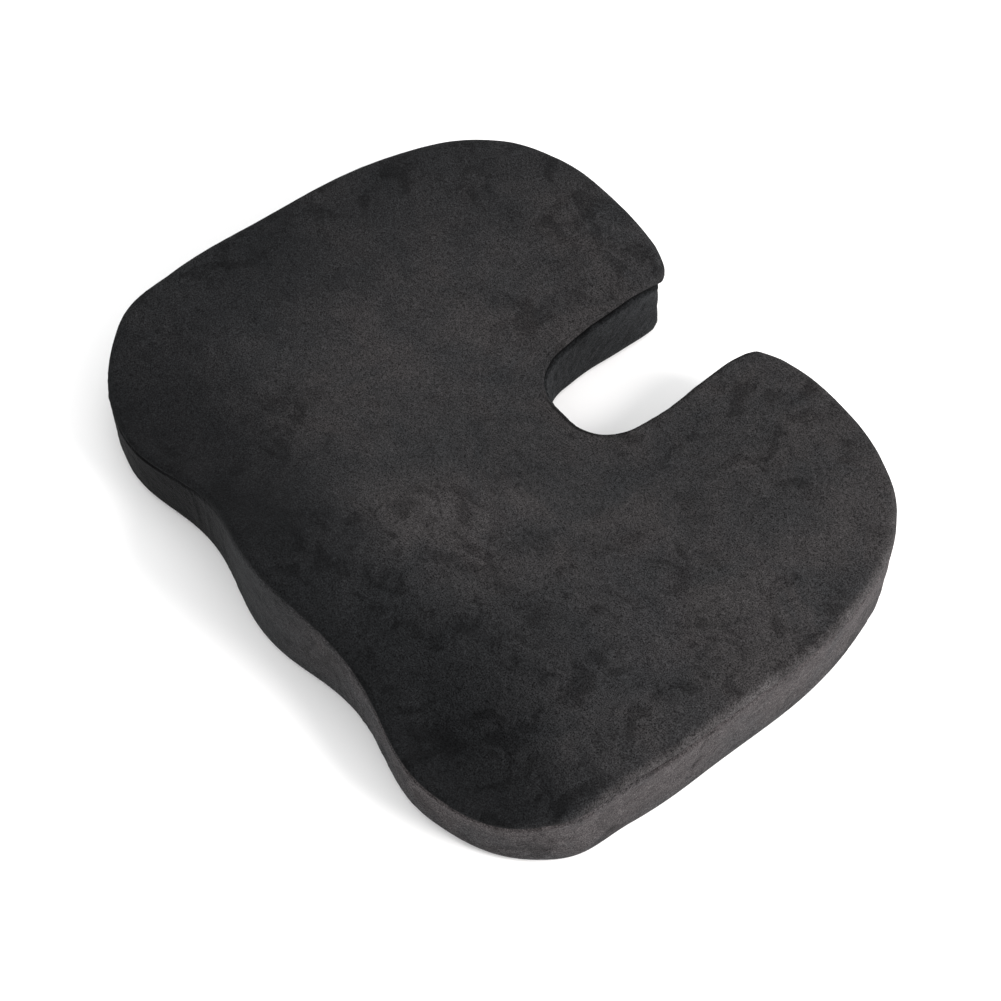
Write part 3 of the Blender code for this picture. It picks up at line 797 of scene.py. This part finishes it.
def make_top(form):
    """The top panel, from its seam allowance over the shoulder to the crown."""
    seam = seam_rise(form)
    drawn = seam_depth(form)
    edge_in = SLOT_RIM * form.slot
    rows = [form.ring(edge_in + drawn + deep * MM, seam + above * MM)
            for deep, above in ((3.6, 0.03), (1.0, 0.03), (0.1, 0.28))]
    rows.append(form.ring(edge_in + drawn * seam_fold(form, 0.6 * MM), seam + 0.62 * MM))
    # Painted shade in the seam's groove and crushed pile, on the allowance rows.
    crush_and_shade = [form.crush_and_shade * share for share in (1.0, 1.0, 1.0, 0.85)]
    for degrees, beyond in [*((turn, 0.0) for turn in SHOULDER_TURNS), (90, 1.2 * MM)]:
        angle = math.radians(degrees)
        inset = edge_in + form.shoulder * (1 - math.cos(angle)) + beyond
        rise = form.fall * math.sin(angle) + SEAM_DROP
        plan = form.plan(inset + drawn * seam_fold(form, rise))
        drop = (form.fall - (seam - form.seam_z)) * (1 - math.sin(angle))
        rows.append(np.column_stack([plan, crown_height(*plan.T) - drop]))
        # Painted shade near the seam, and a painted dark line where the seam rolls on to the top
        # at the slot's end.
        in_groove = form.crush_and_shade * falloff(rise, SEAM_SHADE_REACH)
        on_top = falloff(angle - ROLLED_SEAM, ROLLED_WIDTH) * (beyond == 0)
        crush_and_shade.append(in_groove + form.rolled * on_top)
    edge = rows[-1][:, :2]
    spots = grid_inside(edge, TOP_GRID, 0.6 * TOP_GRID)
    around = len(rows) * COLUMNS
    faces = strip_faces(len(rows), COLUMNS, True)
    faces += fill(edge, spots, around - COLUMNS, around)
    verts = np.vstack([*rows, np.column_stack([spots, crown_height(*spots.T)])])
    turned = np.ones(len(verts))
    turned[:around] = np.repeat(smoothstep(np.linspace(-0.5, 1, len(rows))), COLUMNS)
    lift = 0.35 * noise_field(verts, 0.045, 5) + 0.14 * noise_field(verts, 0.014, 6)
    verts[:, 2] += lift * turned * MM
    top = mesh_object("velour_top_panel", verts, faces)
    mark_crush_and_shade(top, np.r_[np.concatenate(crush_and_shade), np.zeros(len(spots))])
    thicken(top, FABRIC)
    return top


def make_band(form, name, wall, crease_shade, columns):
    """A band of the wall over some of the outline's columns, with both seam allowances."""
    seam = seam_rise(form)
    drawn = seam_depth(form)
    recess = wall_inset(form, 1.0)
    sag = 0.25 * MM * form.pucker
    low = [form.under_ring(deep * MM, height * MM + hang)
           for deep, height, hang in ((5.6, 3.6, 0), (4.9, 2.5, 0), (4.3, 1.1, 0),
                                      (3.1, 0.5, sag), (1.7, 0.7, sag), (0.7, 1.5, sag))]
    high = [form.ring(recess + drawn * seam_fold(form, below * MM), seam - below * MM)
            for below in (1.0, 0.6)]
    high += [form.ring(recess + drawn + deep * MM, seam - below * MM)
             for deep, below in ((0.1, 0.30), (1.0, 0.03), (4.4, 0.03))]
    low, high = (refine(np.array(part))[::2] for part in (low, high))
    rows = np.vstack([low, wall[:-1], high])
    # Painted shade just below the top seam, and in the wall's creases and foot folds.
    below_seam = np.repeat(seam, 2) - rows[:, :, 2]
    crush_and_shade = np.repeat(form.crush_and_shade, 2) * falloff(below_seam, SEAM_SHADE_REACH)
    crush_and_shade[:len(low)] = 0
    crush_and_shade[len(low):len(low) + len(wall) - 1] += crease_shade[:-1]
    rows = rows[:, columns]
    faces = strip_faces(*rows.shape[:2], False)
    band = mesh_object(name, rows.reshape(-1, 3), faces)
    mark_crush_and_shade(band, crush_and_shade[:, columns])
    thicken(band, FABRIC)
    return band


def band_columns(form):
    """The refined columns of the outer band and of the slot band, which meet at the two lips."""
    right = 2 * form.nearest((LIP.x, LIP.y))
    left = 2 * form.nearest((-LIP.x, LIP.y))
    outer = np.arange(left - 2 * COLUMNS, right + 1) % (2 * COLUMNS)
    slot = np.arange(right, left + 1)
    return outer, slot


# ---- the underside
def under_height(spots):
    """Underside of the grip fabric: flat on its dots, lifted a little beside the zip."""
    beside = fade(np.abs(spots[:, 1] - ZIP_Y), WINDOW_HALF + 9 * MM, WINDOW_HALF)
    beside *= fade(np.abs(spots[:, 0]), WINDOW_END + 12 * MM, WINDOW_END - 12 * MM)
    sag = noise_field(np.column_stack([spots, np.zeros(len(spots))]), 0.03, 8)
    return UNDER_Z + (0.9 * beside + 0.10 * sag) * MM


def make_underside(form, side, sign):
    """One anti-slip panel, from the bottom seam to the folded hem at the zip, and its loop."""
    seam_y = ZIP_Y + sign * PANEL_GAP
    chosen = np.nonzero(sign * (form.outline[:, 1] - seam_y) > 0.4 * MM)[0]
    breaks = np.nonzero(np.diff(chosen) > 1)[0]
    if len(breaks):
        chosen = np.roll(chosen, -breaks[0] - 1)
    rim = np.array([form.under_ring(inset * MM, height * MM) for inset, height in PANEL_RIM])
    ends = []
    for last_in, step in ((chosen[0], -1), (chosen[-1], 1)):
        near_end, far_end = rim[:, last_in], rim[:, (last_in + step) % COLUMNS]
        share = (seam_y - near_end[:, 1]) / (far_end[:, 1] - near_end[:, 1])
        ends.append(near_end + share[:, None] * (far_end - near_end))
    rim = np.stack([ends[0], *np.swapaxes(rim[:, chosen], 0, 1), ends[1]], axis=1)
    rows, columns = rim.shape[:2]
    last_x = rim[-1, -1, 0]
    direction = 1 if last_x > 0 else -1
    fold_y = ZIP_Y + sign * WINDOW_HALF
    fold_x = direction * np.linspace(WINDOW_END, -WINDOW_END, HEM_COLUMNS)
    sides = direction * np.linspace(abs(last_x) - 2 * MM, WINDOW_END + 2 * MM, 4)
    steps = seam_y + np.linspace(0.0, 0.75, 4) * (fold_y - seam_y)
    path = [(x, seam_y) for x in sides]
    path += [(direction * WINDOW_END, y) for y in steps]
    fold = rows * columns + len(path) + np.arange(HEM_COLUMNS)
    path += [(x, fold_y) for x in fold_x]
    path += [(-direction * WINDOW_END, y) for y in steps[::-1]]
    path += [(-x, seam_y) for x in sides[::-1]]
    loop = np.vstack([rim[-1][:, :2], path])
    spots = grid_inside(loop, PANEL_GRID, 2.2 * MM)
    loop_start = (rows - 1) * columns
    faces = strip_faces(rows, columns, False)
    faces += fill(loop, spots, loop_start, loop_start + len(loop))
    added = np.vstack([path, spots])
    added = np.column_stack([added, under_height(added)])
    verts = np.vstack([rim.reshape(-1, 3), added])
    previous = fold
    for shift, rise in HEM:
        current = len(verts) + np.arange(HEM_COLUMNS)
        verts = np.vstack([verts, verts[fold] + (0.0, sign * shift * MM, rise * MM)])
        corners = (previous[:-1], previous[1:], current[1:], current[:-1])
        faces += np.column_stack(corners).tolist()
        previous = current
    panel = mesh_object(f"grip_panel_{side}", verts, faces)
    bm = bmesh.new()
    bm.from_mesh(panel.data)
    bmesh.ops.recalc_face_normals(bm, faces=bm.faces)
    flattest = max(bm.faces, key=lambda face: abs(face.normal.z) * face.calc_area())
    if flattest.normal.z > 0:
        bmesh.ops.reverse_faces(bm, faces=bm.faces)
    bm.to_mesh(panel.data)
    bm.free()
    thicken(panel, GRIP_FABRIC)
    return panel, loop


def make_dots(name, loop):
    """Domed rubber dots in a triangular grid over one anti-slip panel."""
    spots = grid_inside(loop, DOT_PITCH, 2.6 * MM, 0.222, 0.172)
    rim = circle(DOT_SIDES) * DOT_RADIUS
    verts = []
    faces = []
    for (x, y), z in zip(spots, under_height(spots)):
        start = len(verts)
        for size, rise in DOT_RINGS:
            verts += [(x + size * dx, y + size * dy, z + rise * UNDER_Z) for dx, dy in rim]
        verts.append((x, y, z - UNDER_Z))
        faces += tube_faces(len(DOT_RINGS), DOT_SIDES, start, tip=len(verts) - 1)
    return mesh_object(name, verts, faces)


def make_stitches(name, sign):
    """A row of sewn stitches along a hem, each a small arched strand of thread."""
    pitch, length, radius, arch = 3.6 * MM, 3.0 * MM, 0.28 * MM, 0.30 * MM
    shares = np.linspace(0, 1, 6)
    raised = np.sin(np.pi * shares)
    y = np.full(len(shares), ZIP_Y + sign * (WINDOW_HALF + HEM_STITCHES))
    verts = []
    faces = []
    for step in range(int((2 * WINDOW_END - 6 * MM) / pitch)):
        x = -WINDOW_END + 3 * MM + step * pitch + shares * length
        z = under_height(np.column_stack([x, y])) + 0.22 * MM - arch * raised
        faces += tube_faces(len(shares), STRAND_SIDES, len(verts))
        for centre, share in zip(np.column_stack([x, y, z]), raised):
            rim = circle(STRAND_SIDES) * radius * (0.55 + 0.45 * share)
            verts += [centre + (0.0, *away) for away in rim]
    return mesh_object(name, verts, faces)


# ---- the zip
def make_tape(side, sign):
    """A woven tape with a corded inner edge and weft ribs."""
    low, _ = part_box(f"zip_tape_{side}")
    # Distance from the zip's middle, and millimetres up.
    section = ((TAPE_INNER, 0.0), (TAPE_INNER, 0.55), (TAPE_INNER + 0.5 * MM, 0.75),
               (3.4 * MM, 0.75), (3.9 * MM, 0.5), (TAPE_OUTER, 0.5), (TAPE_OUTER, 0.0),
               (3.9 * MM, 0.0))
    verts = []
    for step in range(TAPE_RIBS + 1):
        x = (2 * step / TAPE_RIBS - 1) * (WINDOW_END + 2 * MM)
        # Past the coils the two tapes close on each other.
        closed = fade(abs(x), COIL_HIGH.x + 1 * MM, COIL_HIGH.x + 4 * MM)
        rib = 0.05 * MM * (step % 2)
        for away, rise in section:
            away -= (TAPE_INNER - 0.05 * MM) * closed * (away < 2 * MM)
            ridge = rib if rise == 0.0 else -rib
            verts.append((x, ZIP_Y + sign * away, low.z + rise * MM + ridge))
    faces = tube_faces(TAPE_RIBS + 1, len(section), 0)
    if sign > 0:
        faces = [face[::-1] for face in faces]
    return mesh_object(f"woven_tape_{side}", verts, faces, smooth=False)


def make_coil(side, sign):
    """One row of the coil zip: a flattened helix of nylon, offset half a pitch from its pair."""
    pitch, strand, half_wide, half_high = 1.27 * MM, 0.27 * MM, 1.22 * MM, 0.5 * MM
    low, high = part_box(f"zip_coil_{side}")
    per_turn = 14
    steps = int((high.x - low.x - pitch) / pitch) * per_turn + 1
    start_x = low.x + strand + (0.0 if sign > 0 else pitch / 2)
    rim = circle(STRAND_SIDES)
    verts = []
    for step in range(steps):
        turn = 2 * math.pi * step / per_turn
        across, up = math.cos(turn), math.sin(turn)
        centre = Vector((start_x + pitch * step / per_turn,
                         ZIP_Y + sign * (1.12 * MM - half_wide * across),
                         COIL_MIDDLE + half_high * up))
        along = Vector((pitch / (2 * math.pi), sign * half_wide * up, half_high * across))
        along.normalize()
        side_way = along.cross(Vector((1, 0, 0))).normalized()
        up_way = along.cross(side_way)
        verts += [centre + (side_way * a + up_way * b) * strand for a, b in rim]
    return mesh_object(f"nylon_coil_{side}", verts, tube_faces(steps, STRAND_SIDES, 0))


def polish_casting(node, bevel):
    """Soften the edges of a small metal CAD node."""
    weld = node.modifiers.new("weld", "WELD")
    weld.merge_threshold = 0.00001
    round_off = node.modifiers.new("cast_edges", "BEVEL")
    round_off.width = bevel
    round_off.segments = 2
    round_off.limit_method = "ANGLE"
    node.data.shade_smooth()
    node.data.set_sharp_from_angle(angle=math.radians(40))


# ---- foam
def make_foam(form):
    """The moulded foam inside the cover, hollowed a little where it sits over the zip."""
    foot = np.maximum(wall_inset(form, 0.0), 0)
    rows = [form.ring(foot + 7 * MM, FOAM_FLOOR),
            form.ring(foot + FOAM_DEPTH + 2.4 * MM, FOAM_FOOT)]
    for level in np.linspace(0.15, 1, 9):
        height = FOAM_FOOT + level * (form.seam_z - FOAM_FOOT - 1 * MM)
        inset = FOAM_DEPTH + wall_inset(form, level) + 2.8 * MM * (level == 1)
        rows.append(form.ring(inset, height))
    top_inset = FOAM_DEPTH + wall_inset(form, 1.0)
    bend = np.maximum(form.shoulder - FOAM_DEPTH, FOAM_LEAST_BEND)
    tall_bend = np.maximum(form.fall - FOAM_DEPTH, FOAM_LEAST_BEND)
    for angle in np.radians([25, 45, 68, 90]):
        inset = FOAM_DEPTH + 1.2 * MM + bend * (1 - math.cos(angle))
        plan = form.plan(np.maximum(top_inset, inset))
        drop = FOAM_DROP + tall_bend * (1 - math.sin(angle))
        rows.append(np.column_stack([plan, crown_height(*plan.T) - drop]))
    rows = np.array(rows)[:, ::2]
    count, columns = rows.shape[:2]
    spots = grid_inside(form.outline, FOAM_GRID, 13 * MM)
    edges = [edge for *sides, _ in TRENCHES for edge in sides]
    near_zip = [(x, ZIP_Y + y) for x in np.linspace(-0.206, 0.206, 104)
                for y in sorted((0, *edges, *np.negative(edges)))]
    lower = np.vstack([spots[np.abs(spots[:, 1] - ZIP_Y) > 20 * MM], near_zip])
    away = np.abs(lower[:, 1] - ZIP_Y)
    floor = FOAM_FLOOR + sum(depth * fade(away, *sides) for *sides, depth in TRENCHES)
    top = crown_height(*spots.T) - FOAM_DROP
    verts = np.vstack([rows.reshape(-1, 3), np.column_stack([spots, top]),
                       np.column_stack([lower, floor])])
    around = count * columns
    faces = strip_faces(count, columns, True)
    faces += fill(rows[-1][:, :2], spots, around - columns, around)
    faces += [face[::-1] for face in fill(rows[0][:, :2], lower, 0, around + len(spots))]
    return mesh_object("moulded_foam", verts, faces)


# ---- stage, light, camera
AIM = Vector((0.0082, -0.0068, 0.0))
AZIMUTH = math.radians(51.73)
ELEVATION = math.radians(55.99)
DISTANCE = 1.3155
LENS = 77.72
SENSOR = 36.0
FLOOR_Z = -0.4 * MM
FLOOR_REACH = 4.0
SKY_STRENGTH = 1.25
KEY_PLACE = Vector((1.05, 0.45, 0.85))
KEY_SIZE = 0.7
KEY_POWER = 22
KEY_COLOUR = (1.0, 0.97, 0.96)


def aim(data, place, facing):
    """Put a camera or a light in the scene, facing the way given."""
    item = bpy.data.objects.new(data.name, data)
    item.location = place
    item.rotation_mode = "QUATERNION"
    item.rotation_quaternion = facing.to_track_quat("-Z", "Y")
    bpy.context.scene.collection.objects.link(item)
    return item


def make_camera():
    back = Vector((math.sin(AZIMUTH) * math.cos(ELEVATION),
                   -math.cos(AZIMUTH) * math.cos(ELEVATION), math.sin(ELEVATION)))
    data = bpy.data.cameras.new("camera")
    data.lens = LENS
    data.sensor_width = SENSOR
    bpy.context.scene.camera = aim(data, AIM + back * DISTANCE, -back)


def make_stage():
    corners = [(x * FLOOR_REACH, y * FLOOR_REACH, FLOOR_Z)
               for x, y in ((-1, -1), (1, -1), (1, 1), (-1, 1))]
    floor = mesh_object("floor", corners, [(0, 1, 2, 3)])
    n = Nodes("pale_floor")
    floor.data.materials.append(n.finish(
        base_color=n.mix(n.noise(3.0), grey(0.93), grey(0.95)), roughness=0.9,
        specular_ior_level=0.1))
    world = bpy.data.worlds.new("studio")
    world.use_nodes = True
    background = world.node_tree.nodes["Background"]
    background.inputs["Color"].default_value = (1.0, 1.0, 1.0, 1.0)
    background.inputs["Strength"].default_value = SKY_STRENGTH
    bpy.context.scene.world = world
    bpy.context.scene.view_settings.view_transform = "Standard"
    key = bpy.data.lights.new("key", "AREA")
    key.shape = "DISK"
    key.size = KEY_SIZE
    key.energy = KEY_POWER
    key.color = KEY_COLOUR
    aim(key, KEY_PLACE, -KEY_PLACE)


# ---- assembly
def dress(item, material, slot, *nodes):
    item.data.materials.clear()
    item.data.materials.append(material)
    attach(item, "cushion")
    if nodes:
        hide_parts(*nodes)
    return item


def main():
    make_camera()
    make_stage()
    form = Form()
    wall, crease_shade = crease_wall(refine(simulate_wall(form)), form)
    foam = dress(make_foam(form), foam_material(), "foam", "foam_core")

    # Each velour carries painted light and shade from the function given.
    top_velour = velour_material("velour_top", 0.0225, 0.02, top_painted_light, 0.0)
    band_velour = velour_material("velour_band", 0.034, 0.055, wall_painted_light, 2.0,
                                  (0.0, (0.5, 0.5, 1.0), 0.06), lit_warmth=0.09)
    slot_velour = velour_material("velour_slot", 0.064, 0.055, wall_painted_light, 4.0,
                                  (-50.0, (1.0, 0.25, 1.0), 0.24))
    dress(make_top(form), top_velour, "velour", "cover_top_panel")
    outer, slot = band_columns(form)
    for name, columns, velour in (("outer", outer, band_velour), ("slot", slot, slot_velour)):
        band = make_band(form, f"velour_{name}_band", wall, crease_shade, columns)
        dress(band, velour, "velour", f"cover_{name}_band")

    grip = grip_material()
    rubber = rubber_material()
    thread = ribbed_material("thread", 0.03, 900.0)
    tape_weave = ribbed_material("tape_weave", 0.02, 500.0)
    nylon = coil_material()
    for side, sign in (("front", -1), ("rear", 1)):
        panel, loop = make_underside(form, side, sign)
        dress(panel, grip, "grip_fabric", f"cover_bottom_{side}")
        dress(make_dots(f"grip_dots_{side}", loop), rubber, "grip_fabric")
        dress(make_stitches(f"hem_stitches_{side}", sign), thread, "zip_tape")
        dress(make_tape(side, sign), tape_weave, "zip_tape", f"zip_tape_{side}")
        dress(make_coil(side, sign), nylon, "zip_coil", f"zip_coil_{side}")

    lacquer = lacquer_material()
    for name in ("zip_slider", "zip_pull", "zip_bottom_stop", "zip_top_stop_front",
                 "zip_top_stop_rear"):
        node = frame["nodes"][name]
        node.data.materials.clear()
        node.data.materials.append(lacquer)
    for name in ("zip_slider", "zip_pull"):
        polish_casting(frame["nodes"][name], CAST_EDGE)


main()
